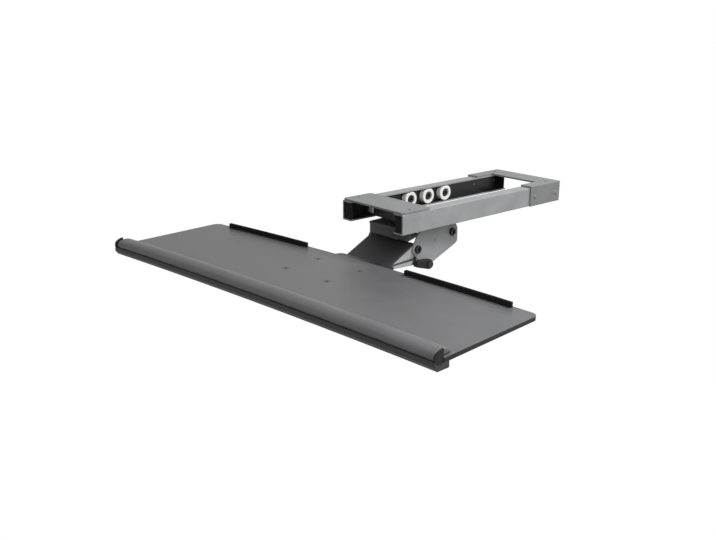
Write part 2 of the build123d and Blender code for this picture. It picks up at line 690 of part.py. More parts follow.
with BuildPart() as lever_stud:
    with BuildSketch(arm_side(arm_outer - ARM_GAUGE - BOLT_CAP_EDGE)):
        with Locations(ARM_HEEL):
            Circle(LEVER_STUD)
    extrude(amount=ARM_GAUGE + LEVER_WASHER + LEVER_WIDTH + 2 * BOLT_CAP_EDGE)
    with BuildSketch(arm_side(lever_inner + LEVER_WIDTH + RUNNING_GAP)):
        with Locations(ARM_HEEL):
            Circle(LEVER_STUD * 2)
    extrude(amount=BOLT_CAP_EDGE * 2)
    with BuildSketch(arm_side(arm_outer)):
        with Locations(ARM_HEEL):
            Circle(LEVER_STUD * 2)
    extrude(amount=LEVER_WASHER - RUNNING_GAP)

# Platform: its front edge bows in a little and its rear edge bows out
platform_half = PLATFORM_WIDTH / 2
stop_strip_outer = platform_half - STOP_STRIP_MARGIN
body_half = platform_half - PALM_END_CAP
with BuildPart() as tray_platform:
    with BuildSketch(arm_level(platform_bottom)):
        with BuildLine():
            front = ThreePointArc(
                (-platform_half, PLATFORM_FRONT),
                (0, PLATFORM_FRONT + PLATFORM_FRONT_BOW),
                (platform_half, PLATFORM_FRONT),
            )
            rear = ThreePointArc(
                (-platform_half, PLATFORM_REAR),
                (0, PLATFORM_REAR + PLATFORM_REAR_BOW),
                (platform_half, PLATFORM_REAR),
            )
            Line(front @ 0, rear @ 0)
            Line(front @ 1, rear @ 1)
        make_face()
        fillet(vertices().group_by(Axis.Y)[-1], PLATFORM_REAR_CORNER)
        fillet(vertices().group_by(Axis.Y)[0], PLATFORM_FRONT_CORNER)
        with Locations((0, TRAY_SCREW_BACK)):
            with GridLocations(TRAY_SCREW_SPACING_X, TRAY_SCREW_SPACING_Y, 2, 2):
                Circle(TRAY_SCREW, mode=Mode.SUBTRACT)
    extrude(amount=PLATFORM_THICKNESS)
    with BuildSketch(arm_level(0)):
        with Locations((0, TRAY_SCREW_BACK)):
            with GridLocations(TRAY_SCREW_SPACING_X, TRAY_SCREW_SPACING_Y, 2, 2):
                Circle(TRAY_SCREW_HEAD)
    extrude(amount=-TRAY_SCREW_HEAD_DEPTH, mode=Mode.SUBTRACT)

with BuildPart() as tray_screws:
    with BuildSketch(arm_level(0)):
        with Locations((0, TRAY_SCREW_BACK)):
            with GridLocations(TRAY_SCREW_SPACING_X, TRAY_SCREW_SPACING_Y, 2, 2):
                Circle(TRAY_SCREW_HEAD)
    extrude(amount=-TRAY_SCREW_HEAD_DEPTH)
    with BuildSketch(arm_level(0)):
        with Locations((0, TRAY_SCREW_BACK)):
            with GridLocations(TRAY_SCREW_SPACING_X, TRAY_SCREW_SPACING_Y, 2, 2):
                Circle(TRAY_SCREW)
    extrude(amount=base_bottom - TRAY_SCREW_NUT_HEIGHT)

with BuildPart() as tray_nuts:
    with BuildSketch(arm_level(base_bottom)):
        with Locations((0, TRAY_SCREW_BACK)):
            with GridLocations(TRAY_SCREW_SPACING_X, TRAY_SCREW_SPACING_Y, 2, 2):
                RegularPolygon(TRAY_SCREW_NUT, side_count=6)
                Circle(TRAY_SCREW, mode=Mode.SUBTRACT)
    extrude(amount=-TRAY_SCREW_NUT_HEIGHT)


# Palm rest: a padded roll along the bowed front edge, with a cap on each end
bow_radius = (platform_half**2 + PLATFORM_FRONT_BOW**2) / (2 * PLATFORM_FRONT_BOW)
bow_centre_back = PLATFORM_FRONT + PLATFORM_FRONT_BOW - bow_radius
bow_centre = swivel.from_local_coords((0, bow_centre_back, 0))


def bow_plane(x):
    """Upright plane that cuts the bow where it passes x: radius across, height up."""
    turn = math.asin(x / bow_radius)
    outward = swivel.x_dir * math.sin(turn) + swivel.y_dir * math.cos(turn)
    return Plane(bow_centre, x_dir=outward, z_dir=outward.cross(Vector(0, 0, 1)))


def rest_outline(skin):
    """Side view of the roll, skin outside its cloth: nose, crown and thin tail."""
    front = PLATFORM_FRONT + PLATFORM_FRONT_BOW - bow_centre_back - SOFT_GAP
    nose = front + SOFT_GAP - PALM_REST_NOSE
    tail = nose + PALM_REST_DEPTH
    shoulder = nose + PALM_REST_DEPTH * PALM_REST_SHOULDER_SHARE
    crown = nose + PALM_REST_DEPTH * PALM_REST_CROWN_SHARE
    with BuildSketch(Plane.XY) as outline:
        with BuildLine():
            ThreePointArc(
                (front, platform_bottom),
                (nose - skin, PALM_REST_NOSE_SHARES[0] * PALM_REST_HEIGHT),
                (shoulder, PALM_REST_NOSE_SHARES[1] * PALM_REST_HEIGHT + skin),
            )
            ThreePointArc(
                (shoulder, PALM_REST_NOSE_SHARES[1] * PALM_REST_HEIGHT + skin),
                (crown, PALM_REST_HEIGHT + skin),
                (tail + skin, PALM_REST_TAIL),
            )
            Polyline(
                (tail + skin, PALM_REST_TAIL),
                (tail + skin, SOFT_GAP),
                (front, SOFT_GAP),
                (front, platform_bottom),
            )
        make_face()
    return outline.sketch


def rest_piece(x_from, x_to, outline):
    """The stretch of a side view, swept along the bow between two places across the platform."""
    sweep_angle = math.degrees(math.asin(x_to / bow_radius) - math.asin(x_from / bow_radius))
    with BuildPart() as piece:
        with BuildSketch(bow_plane(x_from)):
            add(outline)
        revolve(axis=Axis(bow_centre, (0, 0, -1)), revolution_arc=sweep_angle)
    return piece.part


def cap_outline():
    """Side view of an end cap: the roll's nose, a little proud of its cloth."""
    front = PLATFORM_FRONT + PLATFORM_FRONT_BOW - bow_centre_back - SOFT_GAP
    with BuildSketch(Plane.XY) as outline:
        add(rest_outline(PALM_CAP_RIM))
        with Locations((front + PALM_CAP_REACH + PALM_REST_DEPTH / 2, PALM_REST_HEIGHT / 2)):
            Rectangle(PALM_REST_DEPTH, 2 * PALM_REST_HEIGHT, mode=Mode.SUBTRACT)
    return outline.sketch


def base_outline():
    """Side view of the moulded base that clamps the roll to the platform's front edge."""
    front = PLATFORM_FRONT + PLATFORM_FRONT_BOW - bow_centre_back - SOFT_GAP
    with BuildSketch(Plane.XY) as outline:
        with BuildLine():
            Polyline(
                (front, PALM_BASE_SHAPE[0][1]),
                *[(front + across, height) for across, height in PALM_BASE_SHAPE],
                (front + PALM_BASE_BACK, -PALM_BASE_DROP),
                (front + PALM_BASE_BACK, platform_bottom),
                (front, platform_bottom),
                close=True,
            )
        make_face()
        add(rest_outline(PALM_CAP_RIM + SOFT_GAP), mode=Mode.SUBTRACT)
    return outline.sketch


palm_rest = rest_piece(-body_half, body_half, rest_outline(0))
palm_rest_caps = Compound(children=[
    rest_piece(-platform_half, -body_half - SOFT_GAP, cap_outline()),
    rest_piece(body_half + SOFT_GAP, platform_half, cap_outline()),
])
palm_rest_base = rest_piece(-platform_half, platform_half, base_outline())

# Keyboard stops: two soft strips along the rear edge, clear of its middle
with BuildPart() as keyboard_stop_right:
    with BuildSketch(arm_level(0)):
        with BuildLine():
            rear_line = ThreePointArc(
                (-platform_half, PLATFORM_REAR - STOP_STRIP_SETBACK),
                (0, PLATFORM_REAR + PLATFORM_REAR_BOW - STOP_STRIP_SETBACK),
                (platform_half, PLATFORM_REAR - STOP_STRIP_SETBACK),
            )
            offset(rear_line, amount=STOP_STRIP_THICKNESS, side=Side.RIGHT)
        make_face()
        with Locations(((STOP_STRIP_INNER + stop_strip_outer) / 2, PLATFORM_REAR)):
            Rectangle(
                stop_strip_outer - STOP_STRIP_INNER,
                STOP_STRIP_BAND,
                mode=Mode.INTERSECT,
            )
    extrude(amount=STOP_STRIP_HEIGHT)
    fillet(keyboard_stop_right.faces().sort_by(Axis.Z)[-1].edges(), STOP_STRIP_EDGE)

with BuildPart() as keyboard_stop_left:
    add(mirror(keyboard_stop_right.part, about=Plane(swivel.origin, z_dir=swivel.x_dir)))

for part, label in [
    (rail_right.part, "rail_right"),
    (rail_left.part, "rail_left"),
    (front_plate.part, "front_plate"),
    (rear_bracket.part, "rear_bracket"),
    (rivets, "rear_bracket_rivets"),
    (track_stops.part, "track_end_stops"),
    (carriage.part, "carriage"),
    (roller_bolts, "roller_bolts"),
    (front_glides.part, "carriage_glides"),
    (swivel_stud.part, "swivel_stud"),
    (swivel_bearing.part, "swivel_bearing"),
    (swivel_nut.part, "swivel_nut"),
    (yoke.part, "swivel_yoke"),
    (lift_pin, "lift_pin"),
    (link_rear_pin, "link_rear_pin"),
    (lift_spring.part, "lift_spring"),
    (spring_sleeve.part, "spring_sleeve"),
    (arm_plate_right.part, "arm_plate_right"),
    (arm_plate_left.part, "arm_plate_left"),
    (arm_spacer.part, "arm_spacer"),
    (levelling_link.part, "levelling_link"),
    (head_block.part, "head_block"),
    (tilt_pin, "tilt_pin"),
    (link_front_pin, "link_front_pin"),
    (tray_bracket.part, "tray_bracket"),
    (bracket_hood.part, "bracket_hood"),
    (tray_platform.part, "tray_platform"),
    (tray_screws.part, "tray_screws"),
    (tray_nuts.part, "tray_nuts"),
    (palm_rest, "palm_rest"),
    (palm_rest_caps, "palm_rest_end_caps"),
    (palm_rest_base, "palm_rest_base"),
    (keyboard_stop_left.part, "keyboard_stop_left"),
    (keyboard_stop_right.part, "keyboard_stop_right"),
    (lock_lever.part, "lock_lever"),
    (lever_stud.part, "lever_stud"),
]:
    save(part, label)

for side, name in ((-1, "left"), (1, "right")):
    for number, y in enumerate(roller_y, start=1):
        save(roller(side, y), f"roller_{name}_{number}")
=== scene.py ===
"""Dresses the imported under-desk keyboard tray: finishes, driver sockets and a padded palm rest."""

import math

import bmesh
import bpy
from mathutils import Matrix, Vector


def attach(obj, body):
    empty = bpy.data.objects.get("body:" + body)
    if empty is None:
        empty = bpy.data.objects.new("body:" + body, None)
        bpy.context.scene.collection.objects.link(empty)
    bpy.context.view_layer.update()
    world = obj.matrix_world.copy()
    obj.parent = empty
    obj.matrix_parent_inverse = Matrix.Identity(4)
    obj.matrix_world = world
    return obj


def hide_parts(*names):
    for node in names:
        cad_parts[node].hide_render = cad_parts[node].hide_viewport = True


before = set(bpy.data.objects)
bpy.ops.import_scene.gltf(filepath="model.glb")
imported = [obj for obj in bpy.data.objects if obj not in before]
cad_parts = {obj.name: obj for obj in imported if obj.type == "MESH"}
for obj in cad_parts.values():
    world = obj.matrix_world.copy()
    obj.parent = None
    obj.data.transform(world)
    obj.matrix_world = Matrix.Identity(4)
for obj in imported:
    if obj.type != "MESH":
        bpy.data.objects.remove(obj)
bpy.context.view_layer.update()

bl_info = {
    "name": "Keyboard Tray Dresser",
    "version": (1, 0, 0),
    "blender": (4, 5, 0),
    "location": "View3D > Sidebar > Keyboard Tray",
    "description": "Finishes, padding and studio for an under-desk keyboard tray",
    "category": "Object",
}

# The swivelled frame of the CAD model, and its axes
SWIVEL_REST = math.radians(5)
SWIVEL_PLACE = Vector((0, -0.107, -0.077))
X_AXIS = Vector((1, 0, 0))
Z_AXIS = Vector((0, 0, 1))

# Places recoloured darker, each a middle and half width along an axis: painted shade inside the rail
# channel and on the bracket's base under the hood, and the platform's side faces made black
SHADED_CHANNEL_ACROSS = (0.0, 0.0677)
SHADED_CHANNEL_HEIGHT = (-0.019, 0.01365)
SHADED_BRACKET_BASE_HEIGHT = (-0.0845, 0.0017)
PLATFORM_EDGE_HEIGHT = (-0.080, 0.0028)

# Dark and bare finishes, a painted shade for the rail channel, and the shares of a shared grey that some
# pieces show; the plate's darker share is painted shade and the flange's lighter share painted light
# Painted shade: near-black for the inside of the rail channel, where the flange and plates above shade
# it
CHANNEL_SHADE_BLACK = (0.012, 0.012, 0.013)
FOAM_BLACK = (0.012, 0.012, 0.012)
RUBBER_BLACK = (0.014, 0.014, 0.014)
EDGE_BLACK = (0.014, 0.014, 0.015)
SOCKET_BLACK = (0.02, 0.02, 0.022)
ACETAL_BLACK = (0.025, 0.025, 0.025)
STEEL_BLACK = (0.03, 0.03, 0.032)
REST_BASE_GREY = (0.045, 0.045, 0.046)
SCREW_GREY = (0.075, 0.076, 0.078)
DULL_ZINC = (0.5, 0.5, 0.48)
BRIGHT_ZINC = (0.55, 0.55, 0.53)
# Painted shade: the front plate's darker share of the track grey, for a top face that the key lamp
# lights too much
PLATE_SHADE_SHARE = 0.68
YOKE_SHARE = 0.35
# Painted light: the flange's lighter share of the arm grey, standing in for light from the right on it
FLANGE_LIGHT_SHARE = 1.5

# Sides of a driver socket, and the doubles merged in a copied mesh
SOCKET_SIDES = 6
MERGE_DISTANCE = 0.00001
CREASE_ANGLE = math.radians(30)

# Which points of the palm rest's cover are held: near the platform, facing down or at the ends
HELD_HEIGHT = 0.001
HELD_FACING = 0.2
UNDERSIDE_FACING = -0.5
END_FACING = 0.8
CLOTH_STEPS = 15

# Lamps: name, place, size in metres and power in watts; all look at the tray's middle
LAMPS = (
    ("key_lamp", (0.7, -0.4, 0.5), 0.5, 4.5),
    ("fill_lamp", (1.1, -1.5, 0.5), 1.4, 2.5),
    ("top_lamp", (0.55, 0.4, 0.8), 0.22, 10),
)
LAMP_TARGET = Vector((0, -0.2, -0.05))
WORLD_LIGHT = 0.2
FLOOR_SIZE = 60
FLOOR_GLOW = 1.06
FLOOR_GLOW_SHARE = 0.93
WHITE = (1, 1, 1, 1)


# Sizes and colours a user would change


class TrayFinishes(bpy.types.PropertyGroup):
    """Colours and grain of the tray's finishes."""

    platform_grey: bpy.props.FloatVectorProperty(
        name="Platform grey",
        description="Finish of the platform",
        subtype="COLOR",
        default=(0.118, 0.119, 0.122),
    )
    frame_grey: bpy.props.FloatVectorProperty(
        name="Track grey",
        description="Powder coat on the rails and plates",
        subtype="COLOR",
        default=(0.265, 0.268, 0.272),
    )
    arm_grey: bpy.props.FloatVectorProperty(
        name="Arm grey",
        description="Powder coat on the arm plates and the yoke",
        subtype="COLOR",
        default=(0.255, 0.258, 0.262),
    )
    hood_black: bpy.props.FloatVectorProperty(
        name="Hood black",
        description="Powder coat on the bracket's hood",
        subtype="COLOR",
        default=(0.030, 0.030, 0.032),
    )
    rest_grey: bpy.props.FloatVectorProperty(
        name="Palm rest grey",
        description="Cover of the palm rest",
        subtype="COLOR",
        default=(0.095, 0.096, 0.099),
    )
    nylon_white: bpy.props.FloatVectorProperty(
        name="Nylon white",
        description="Rollers and glides",
        subtype="COLOR",
        default=(0.82, 0.82, 0.80),
    )
    coat_grain: bpy.props.FloatProperty(
        name="Coat grain",
        description="Size of the orange peel in the powder coat",
        unit="LENGTH",
        default=0.0009,
    )


class PalmRestSizes(bpy.types.PropertyGroup):
    """Padding of the palm rest."""

    voxel: bpy.props.FloatProperty(
        name="Mesh size",
        description="Size of the cloth mesh before it is smoothed",
        unit="LENGTH",
        default=0.0036,
    )
    shrink: bpy.props.FloatProperty(
        name="Shrink",
        description="How far the pad starts inside its final skin",
        unit="LENGTH",
        default=0.0008,
    )
    swell: bpy.props.FloatProperty(
        name="Swell",
        description="Most that a point of the cover may move",
        unit="LENGTH",
        default=0.0016,
    )
    pressure: bpy.props.FloatProperty(
        name="Pressure",
        description="Filling pressure in the cloth simulation",
        default=4.0,
    )
    end_seam: bpy.props.FloatProperty(
        name="End seam",
        description="Distance of the sewn seam from each end",
        unit="LENGTH",
        default=0.014,
    )
    seam_depth: bpy.props.FloatProperty(
        name="Seam depth",
        description="Depth of the sewn seam",
        unit="LENGTH",
        default=0.0009,
    )
    seam_width: bpy.props.FloatProperty(
        name="Seam width",
        description="Half width of the sewn seam",
        unit="LENGTH",
        default=0.0022,
    )


class FastenerSizes(bpy.types.PropertyGroup):
    """Driver sockets of the bolts and screws."""

    pin_socket: bpy.props.FloatProperty(
        name="Pin socket",
        description="Corner radius of the hexagon in the pin caps",
        unit="LENGTH",
        default=0.0040,
    )
    pin_socket_depth: bpy.props.FloatProperty(
        name="Pin socket depth",
        description="Depth of the hexagon in the pin caps",
        unit="LENGTH",
        default=0.0028,
    )
    bolt_socket: bpy.props.FloatProperty(
        name="Bolt socket",
        description="Corner radius of the hexagon in the roller bolts",
        unit="LENGTH",
        default=0.0029,
    )
    bolt_socket_depth: bpy.props.FloatProperty(
        name="Bolt socket depth",
        description="Depth of the hexagon in the roller bolts",
        unit="LENGTH",
        default=0.0016,
    )
    screw_socket: bpy.props.FloatProperty(
        name="Screw socket",
        description="Corner radius of the hexagon in the tray screws",
        unit="LENGTH",
        default=0.0023,
    )
    screw_socket_depth: bpy.props.FloatProperty(
        name="Screw socket depth",
        description="Depth of the hexagon in the tray screws",
        unit="LENGTH",
        default=0.0018,
    )


class StudioSizes(bpy.types.PropertyGroup):
    """Camera, lamps and floor."""

    camera_place: bpy.props.FloatVectorProperty(
        name="Camera",
        description="Where the camera stands",
        subtype="TRANSLATION",
        default=(0.9561, -1.0411, 0.2970),
    )
    camera_turn: bpy.props.FloatProperty(
        name="Camera turn",
        description="Turn of the camera about the vertical",
        subtype="ANGLE",
        default=math.radians(49.28),
    )
    camera_dip: bpy.props.FloatProperty(
        name="Camera dip",
        description="How far the camera looks below the horizon",
        subtype="ANGLE",
        default=math.radians(17.43),
    )
    lens: bpy.props.FloatProperty(
        name="Lens",
        description="Focal length on a 36 mm sensor, in millimetres",
        default=42.55,
    )
    floor_drop: bpy.props.FloatProperty(
        name="Floor drop",
        description="How far the floor lies below the tray",
        unit="LENGTH",
        default=0.9,
    )


# Small helpers


def deselect_all():
    """Leaves nothing selected, because operators act on all that is."""
    if bpy.context.object and bpy.context.object.mode != "OBJECT":
        bpy.ops.object.mode_set(mode="OBJECT")
    bpy.ops.object.select_all(action="DESELECT")


def select_only(piece):
    """Leaves that piece alone selected and active."""
    deselect_all()
    piece.select_set(True)
    bpy.context.view_layer.objects.active = piece


def swivel_matrix():
    """The swivelled frame at rest: its origin on the swivel axis at the platform's top."""
    return Matrix.Translation(SWIVEL_PLACE) @ Matrix.Rotation(SWIVEL_REST, 4, "Z")


def copy_of_node(node, name):
    """A merged copy of a CAD node as a new piece at the origin."""
    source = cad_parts[node]
    mesh = source.data.copy()
    mesh.materials.clear()
    piece = bpy.data.objects.new(name, mesh)
    bpy.context.scene.collection.objects.link(piece)
    select_only(piece)
    bpy.ops.object.mode_set(mode="EDIT")
    bpy.ops.mesh.select_all(action="SELECT")
    bpy.ops.mesh.remove_doubles(threshold=MERGE_DISTANCE)
    bpy.ops.mesh.normals_make_consistent(inside=False)
    bpy.ops.object.mode_set(mode="OBJECT")
    return piece


def cut_sockets(piece, places, axis, radius, depth):
    """Cuts a hexagon socket into a piece at each place, along axis."""
    turn = axis.to_track_quat("Z", "Y").to_euler()
    for place in places:
        deselect_all()
        bpy.ops.mesh.primitive_cylinder_add(
            vertices=SOCKET_SIDES, radius=radius, depth=2 * depth, location=place, rotation=turn
        )
        cutter = bpy.context.object
        cut = piece.modifiers.new("Socket", "BOOLEAN")
        cut.operation = "DIFFERENCE"
        cut.solver = "EXACT"
        cut.object = cutter
        select_only(piece)
        bpy.ops.object.modifier_apply(modifier=cut.name)
        bpy.data.objects.remove(cutter)


def island_boxes(piece):
    """The low and high corner of each loose solid in a merged piece."""
    shape = bmesh.new()
    shape.from_mesh(piece.data)
    left = set(shape.verts)
    boxes = []
    while left:
        reach, island = [left.pop()], []
        while reach:
            vertex = reach.pop()
            island.append(vertex.co.copy())
            for edge in vertex.link_edges:
                other = edge.other_vert(vertex)
                if other in left:
                    left.discard(other)
                    reach.append(other)
        low = Vector([min(c[i] for c in island) for i in range(3)])
        high = Vector([max(c[i] for c in island) for i in range(3)])
        boxes.append((low, high))
    shape.free()
    return boxes


# Materials


def set_inputs(node, **values):
    """Gives a shader node's inputs these constants; an underscore stands for a space."""
    for key, value in values.items():
        node.inputs[key.replace("_", " ")].default_value = value


def mottled(material, colour, spread, scale, detail):
    """Gives a material a clouded colour; returns its coordinates and cloud nodes."""
    nodes, links = material.node_tree.nodes, material.node_tree.links
    place = nodes.new("ShaderNodeTexCoord")
    cloud = nodes.new("ShaderNodeTexNoise")
    set_inputs(cloud, Scale=scale, Detail=detail)
    links.new(place.outputs["Object"], cloud.inputs["Vector"])
    tint = nodes.new("ShaderNodeValToRGB")
    dark, light = tint.color_ramp.elements
    dark.position = 0.3
    dark.color = [c * (1 - spread) for c in colour] + [1]
    light.position = 0.7
    light.color = [min(1, c * (1 + spread)) for c in colour] + [1]
    links.new(cloud.outputs["Fac"], tint.inputs["Fac"])
    links.new(tint.outputs["Color"], nodes["Principled BSDF"].inputs["Base Color"])
    return place, cloud


def roughened(material, source, low, high):
    """Lets a material's roughness run between two values with a node's output."""
    nodes, links = material.node_tree.nodes, material.node_tree.links
    gloss = nodes.new("ShaderNodeMapRange")
    set_inputs(gloss, To_Min=low, To_Max=high)
    links.new(source, gloss.inputs["Value"])
    links.new(gloss.outputs["Result"], nodes["Principled BSDF"].inputs["Roughness"])


def coat_material(
    name, colour, roughness, grain, edge, metallic=0.0, bump=0.12, mottle=0.12, shine=0.5
):
    """A sprayed or moulded finish: mottled colour, fine grain and softened edges."""
    material = bpy.data.materials.new(name)
    material.use_nodes = True
    nodes, links = material.node_tree.nodes, material.node_tree.links
    shader = nodes["Principled BSDF"]
    set_inputs(shader, Metallic=metallic, Specular_IOR_Level=shine)

    place, cloud = mottled(material, colour, mottle, 28.0, 6.0)
    roughened(material, cloud.outputs["Fac"], roughness * 0.9, min(1.0, roughness * 1.12))

    peel = nodes.new("ShaderNodeTexNoise")
    set_inputs(peel, Scale=1.0 / grain, Detail=3.0)
    links.new(place.outputs["Object"], peel.inputs["Vector"])

    rounded = nodes.new("ShaderNodeBevel")
    set_inputs(rounded, Radius=edge)
    rounded.samples = 4
    dimple = nodes.new("ShaderNodeBump")
    set_inputs(dimple, Strength=bump, Distance=grain * 0.4)
    links.new(peel.outputs["Fac"], dimple.inputs["Height"])
    links.new(rounded.outputs["Normal"], dimple.inputs["Normal"])
    links.new(dimple.outputs["Normal"], shader.inputs["Normal"])
    return material


def darken_between(material, colour, spans):
    """Recolours a finish where a point lies inside every span: axis, (middle, half width)."""
    nodes, links = material.node_tree.nodes, material.node_tree.links
    base = nodes["Principled BSDF"].inputs["Base Color"]
    place = nodes.new("ShaderNodeTexCoord")
    inside = None
    for axis, (middle, half_width) in spans:
        along = nodes.new("ShaderNodeVectorMath")
        along.operation = "DOT_PRODUCT"
        along.inputs[1].default_value = axis
        links.new(place.outputs["Object"], along.inputs[0])
        near = nodes.new("ShaderNodeMath")
        near.operation = "COMPARE"
        near.inputs[1].default_value = middle
        near.inputs[2].default_value = half_width
        links.new(along.outputs["Value"], near.inputs[0])
        if inside is None:
            inside = near
            continue
        both = nodes.new("ShaderNodeMath")
        both.operation = "MULTIPLY"
        links.new(inside.outputs["Value"], both.inputs[0])
        links.new(near.outputs["Value"], both.inputs[1])
        inside = both
    blend = nodes.new("ShaderNodeMix")
    blend.data_type = "RGBA"
    links.new(inside.outputs["Value"], blend.inputs["Factor"])
    links.new(base.links[0].from_socket, blend.inputs[6])
    blend.inputs[7].default_value = list(colour) + [1]
    links.new(blend.outputs[2], base)


def cover_material(name, colour):
    """Leathercloth over the palm rest: fine cell grain with a soft sheen."""
    material = bpy.data.materials.new(name)
    material.use_nodes = True
    nodes, links = material.node_tree.nodes, material.node_tree.links
    shader = nodes["Principled BSDF"]
    set_inputs(shader, Sheen_Weight=0.12, Sheen_Roughness=0.5)

    place, _ = mottled(material, colour, 0.1, 18.0, 5.0)
    cells = nodes.new("ShaderNodeTexVoronoi")
    set_inputs(cells, Scale=950.0)
    cells.distance = "EUCLIDEAN"
    links.new(place.outputs["Object"], cells.inputs["Vector"])
    roughened(material, cells.outputs["Distance"], 0.42, 0.62)

    grain = nodes.new("ShaderNodeBump")
    set_inputs(grain, Strength=0.18, Distance=0.0003)
    links.new(cells.outputs["Distance"], grain.inputs["Height"])
    links.new(grain.outputs["Normal"], shader.inputs["Normal"])
    return material


def paint(material, *names):
    """Gives CAD nodes a finish through their material slots."""
    for name in names:
        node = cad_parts[name]
        if not node.material_slots:
            node.data.materials.append(material)
        for material_slot in node.material_slots:
            material_slot.material = material


# Operators, one for each group of pieces


class TRAY_OT_track(bpy.types.Operator):
    """Finish the rails, plates, rivets and end stops"""

    bl_idname = "tray.track"
    bl_label = "Track"

    def execute(self, context):
        finishes = context.scene.tray_finishes
        grey, grain = finishes.frame_grey, finishes.coat_grain
        # A darker copy of the track grey: painted shade on the front plate, which the rear bracket
        # shares
        shaded_track_grey = [c * PLATE_SHADE_SHARE for c in grey]
        rails = coat_material("track_coat", grey, 0.46, grain, edge=0.0006, bump=0.1)
        bracket = coat_material("bracket_coat", shaded_track_grey, 0.5, grain, edge=0.0006, bump=0.1)
        rubber = coat_material(
            "stop_rubber", RUBBER_BLACK, 0.8, grain=0.0008, edge=0.0004, bump=0.2, shine=0.15
        )
        # Painted shade: the inside of the rail channel, shaded by the flange and plates above, is
        # coloured near-black
        darken_between(rails, CHANNEL_SHADE_BLACK, [(X_AXIS, SHADED_CHANNEL_ACROSS), (Z_AXIS, SHADED_CHANNEL_HEIGHT)])
        plate = coat_material("plate_coat", shaded_track_grey, 0.5, grain, edge=0.0006, bump=0.1)
        paint(rails, "rail_right", "rail_left")
        paint(plate, "front_plate")
        paint(bracket, "rear_bracket", "rear_bracket_rivets")
        paint(rubber, "track_end_stops")
        return {"FINISHED"}


class TRAY_OT_carriage(bpy.types.Operator):
    """Finish the carriage, its rollers and the swivel"""

    bl_idname = "tray.carriage"
    bl_label = "Carriage"

    def execute(self, context):
        finishes = context.scene.tray_finishes
        grain = finishes.coat_grain
        black = coat_material("carriage_coat", STEEL_BLACK, 0.5, grain, edge=0.0005)
        nylon = coat_material(
            "nylon", finishes.nylon_white, 0.38, grain=0.0012, edge=0.0004, bump=0.04, mottle=0.03
        )
        zinc = coat_material(
            "swivel_zinc", BRIGHT_ZINC, 0.3, grain=0.0006, edge=0.0003, metallic=1.0, bump=0.05
        )
        acetal = coat_material(
            "bearing_acetal", ACETAL_BLACK, 0.45, grain=0.001, edge=0.0004, bump=0.05
        )
        rollers = [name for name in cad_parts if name.startswith(("roller_left", "roller_right"))]
        paint(black, "carriage")
        paint(nylon, "carriage_glides", *rollers)
        paint(zinc, "swivel_stud", "swivel_nut")
        paint(acetal, "swivel_bearing")
        return {"FINISHED"}


class TRAY_OT_arm(bpy.types.Operator):
    """Finish the yoke, the lift arm, the link, the head and the lock lever"""

    bl_idname = "tray.arm"
    bl_label = "Arm"

    def execute(self, context):
        finishes = context.scene.tray_finishes
        grey, grain = finishes.arm_grey, finishes.coat_grain
        coat = coat_material("arm_coat", grey, 0.45, grain, edge=0.0006, bump=0.1)
        yoke = coat_material("yoke_coat", [c * YOKE_SHARE for c in grey], 0.5, grain, edge=0.0006)
        black = coat_material("link_coat", STEEL_BLACK, 0.5, grain, edge=0.0005)
        oxide = coat_material(
            "pin_oxide", STEEL_BLACK, 0.38, grain=0.0005, edge=0.0004, metallic=0.6, bump=0.05, shine=0.3
        )
        zinc = coat_material(
            "pin_zinc", DULL_ZINC, 0.3, grain=0.0006, edge=0.0003, metallic=1.0, bump=0.05
        )
        grip = coat_material(
            "lever_grip", FOAM_BLACK, 0.65, grain=0.0009, edge=0.0008, bump=0.25, shine=0.2
        )
        paint(coat, "arm_plate_right", "arm_plate_left", "arm_spacer")
        paint(yoke, "swivel_yoke")
        paint(black, "levelling_link", "head_block", "spring_sleeve")
        paint(oxide, "lift_spring", "lever_stud")
        paint(zinc, "link_rear_pin", "link_front_pin")
        paint(grip, "lock_lever")
        return {"FINISHED"}


class TRAY_OT_platform(bpy.types.Operator):
    """Finish the platform, its bracket, screws, nuts and keyboard stops"""

    bl_idname = "tray.platform"
    bl_label = "Platform"

    def execute(self, context):
        finishes = context.scene.tray_finishes
        grain = finishes.coat_grain
        # A lighter copy of the arm grey: painted light on the bracket's flange
        flange_lit_grey = [c * FLANGE_LIGHT_SHARE for c in finishes.arm_grey]
        top = coat_material(
            "platform_coat", finishes.platform_grey, 0.36, grain, edge=0.0005, bump=0.14, mottle=0.06,
            shine=0.16,
        )
        hood = coat_material("hood_coat", finishes.hood_black, 0.55, grain, edge=0.0006, shine=0.3)
        flange = coat_material("flange_coat", flange_lit_grey, 0.46, grain, edge=0.0006, bump=0.1)
        zinc = coat_material(
            "nut_zinc", DULL_ZINC, 0.32, grain=0.0006, edge=0.0003, metallic=1.0, bump=0.05
        )
        foam = coat_material(
            "stop_foam", FOAM_BLACK, 0.9, grain=0.0011, edge=0.0008, bump=0.45, shine=0.1
        )
        cap = coat_material("rest_cap", EDGE_BLACK, 0.6, grain=0.0008, edge=0.0005, shine=0.2)
        base = coat_material("rest_base", REST_BASE_GREY, 0.6, grain=0.0008, edge=0.0005, shine=0.3)
        # Painted shade: the bracket's base under the hood takes the hood's black
        darken_between(flange, finishes.hood_black, [(Z_AXIS, SHADED_BRACKET_BASE_HEIGHT)])
        darken_between(top, EDGE_BLACK, [(Z_AXIS, PLATFORM_EDGE_HEIGHT)])
        paint(top, "tray_platform")
        paint(hood, "bracket_hood")
        paint(flange, "tray_bracket")
        paint(zinc, "tray_nuts")
        paint(foam, "keyboard_stop_left", "keyboard_stop_right")
        paint(cap, "palm_rest_end_caps")
        paint(base, "palm_rest_base")
        return {"FINISHED"}


